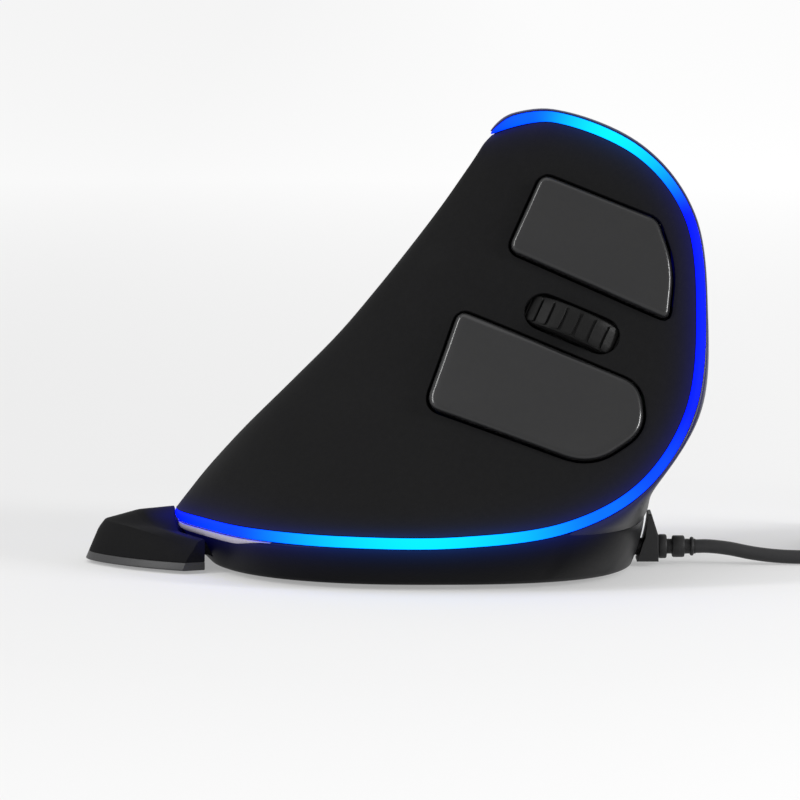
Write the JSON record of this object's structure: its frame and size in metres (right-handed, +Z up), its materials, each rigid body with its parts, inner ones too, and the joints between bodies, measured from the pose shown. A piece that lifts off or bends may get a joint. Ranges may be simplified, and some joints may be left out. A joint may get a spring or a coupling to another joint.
{
  "type": "vertical computer mouse",
  "caption": "Upright ergonomic mouse for the right hand, with a lit edge, click keys, scroll wheel, thumb buttons, slide-off palm rest and a wired plug.",
  "frame": {"origin": "on the desk, under the middle of the mouse with its palm rest, cable left out", "axes": "+X forward to the cable, -Y to the fingers, +Y to the thumb, +Z up"},
  "size_m": [0.1722, 0.1186, 0.0794],
  "materials": {
    "panel_plastic": "fine soft-touch texture",
    "rim_plastic": "satin black",
    "key_plastic": "fine satin texture",
    "light_guide": "milky blue, lit from behind",
    "lamp": "clear resin",
    "white_strip": "flexible white strip",
    "circuit_board": "green solder mask",
    "chip": "moulded black",
    "clear_lens": "clear moulded lens",
    "steel": "zinc plated",
    "white_plastic": "natural white",
    "cradle_plastic": "moulded grey",
    "tyre_rubber": "matt rubber",
    "palm_top": "fine soft-touch texture",
    "palm_base": "moulded grey",
    "glide": "slippery glide",
    "pad_rubber": "matt rubber",
    "cable_rubber": "matt cable jacket",
    "tie_band": "woven strap",
    "plug_grip": "moulded black",
    "ribbon": "flat lead"
  },
  "bodies": {
    "mouse": {"base_shell": "rim_plastic", "finger_cover": "panel_plastic", "thumb_cover": "panel_plastic", "front_cover": "rim_plastic", "light_guide": "light_guide", "led_strip": "white_strip", "light_leds": "lamp", "glide_feet": "glide", "base_screws": "steel", "main_board": "circuit_board", "controller_chip": "chip", "sensor_chip": "chip", "sensor_lens": "clear_lens", "main_board_screws": "steel", "cable_socket": "white_plastic", "switch_board": "circuit_board", "switch_board_screws": "steel", "left_switch": "chip", "right_switch": "chip", "wheel_switch": "chip", "wheel_encoder": "chip", "wheel_bracket": "cradle_plastic", "finger_ribbon": "ribbon", "thumb_board": "circuit_board", "thumb_switches": "chip", "thumb_board_screws": "steel", "thumb_ribbon": "ribbon", "cable_boot": "cable_rubber", "inner_lead": "cable_rubber", "usb_cable": "cable_rubber", "cable_coil": "cable_rubber", "cable_tail": "cable_rubber", "cable_tie": "tie_band", "usb_plug_grip": "plug_grip", "usb_plug_shell": "steel", "usb_plug_tongue": "white_plastic"},
    "left_button": {"left_key": "key_plastic", "left_plunger": "white_plastic"},
    "right_button": {"right_key": "key_plastic", "right_plunger": "white_plastic"},
    "cradle": {"wheel_cradle": "cradle_plastic", "wheel_plunger": "white_plastic"},
    "scroll_wheel": {"wheel_hub": "cradle_plastic", "wheel_tyre": "tyre_rubber"},
    "forward": {"forward_button": "key_plastic", "forward_plunger": "white_plastic"},
    "back": {"back_button": "key_plastic", "back_plunger": "white_plastic"},
    "speed": {"speed_button": "key_plastic", "speed_plunger": "white_plastic"},
    "palm_rest": {"palm_rest_top": "palm_top", "palm_rest_base": "palm_base", "palm_rest_pads": "pad_rubber"}
  },
  "joints": [
    {"name": "left_click", "type": "hinge", "parent": "mouse", "child": "left_button", "pos_m": [0.01936, -0.00805, 0.05971], "axis": [0.4106, 0.2365, 0.8806], "range_deg": [0, 1.2], "stiffness_Nm_per_rad": 0.3, "springref_deg": -1.49},
    {"name": "right_click", "type": "hinge", "parent": "mouse", "child": "right_button", "pos_m": [0.0056, -0.01335, 0.03824], "axis": [0.4106, 0.2365, 0.8806], "range_deg": [0, 1.2], "stiffness_Nm_per_rad": 0.3, "springref_deg": -1.49},
    {"name": "wheel_press", "type": "hinge", "parent": "mouse", "child": "cradle", "pos_m": [0.01843, -0.00858, 0.04575], "axis": [0.4106, 0.2365, 0.8806], "range_deg": [0, 1.2], "stiffness_Nm_per_rad": 0.3, "springref_deg": -1.49},
    {"name": "wheel_turn", "type": "hinge", "parent": "cradle", "child": "scroll_wheel", "pos_m": [0.03153, -0.01349, 0.04095], "axis": [0.4106, 0.2365, 0.8806], "continuous": true},
    {"name": "forward_press", "type": "slide", "parent": "mouse", "child": "forward", "axis": [0.1751, -0.8996, -0.4001], "range_m": [0, 0.0005], "stiffness_N_per_m": 1500, "springref_m": -0.0003},
    {"name": "back_press", "type": "slide", "parent": "mouse", "child": "back", "axis": [0.1751, -0.8996, -0.4001], "range_m": [0, 0.0005], "stiffness_N_per_m": 1500, "springref_m": -0.0003},
    {"name": "speed_press", "type": "slide", "parent": "mouse", "child": "speed", "axis": [0.1751, -0.8996, -0.4001], "range_m": [0, 0.0005], "stiffness_N_per_m": 1500, "springref_m": -0.0003},
    {"name": "palm_rest_slide", "type": "slide", "parent": "mouse", "child": "palm_rest", "axis": [-1, 0, 0], "range_m": [0, 0.02]}
  ]
}
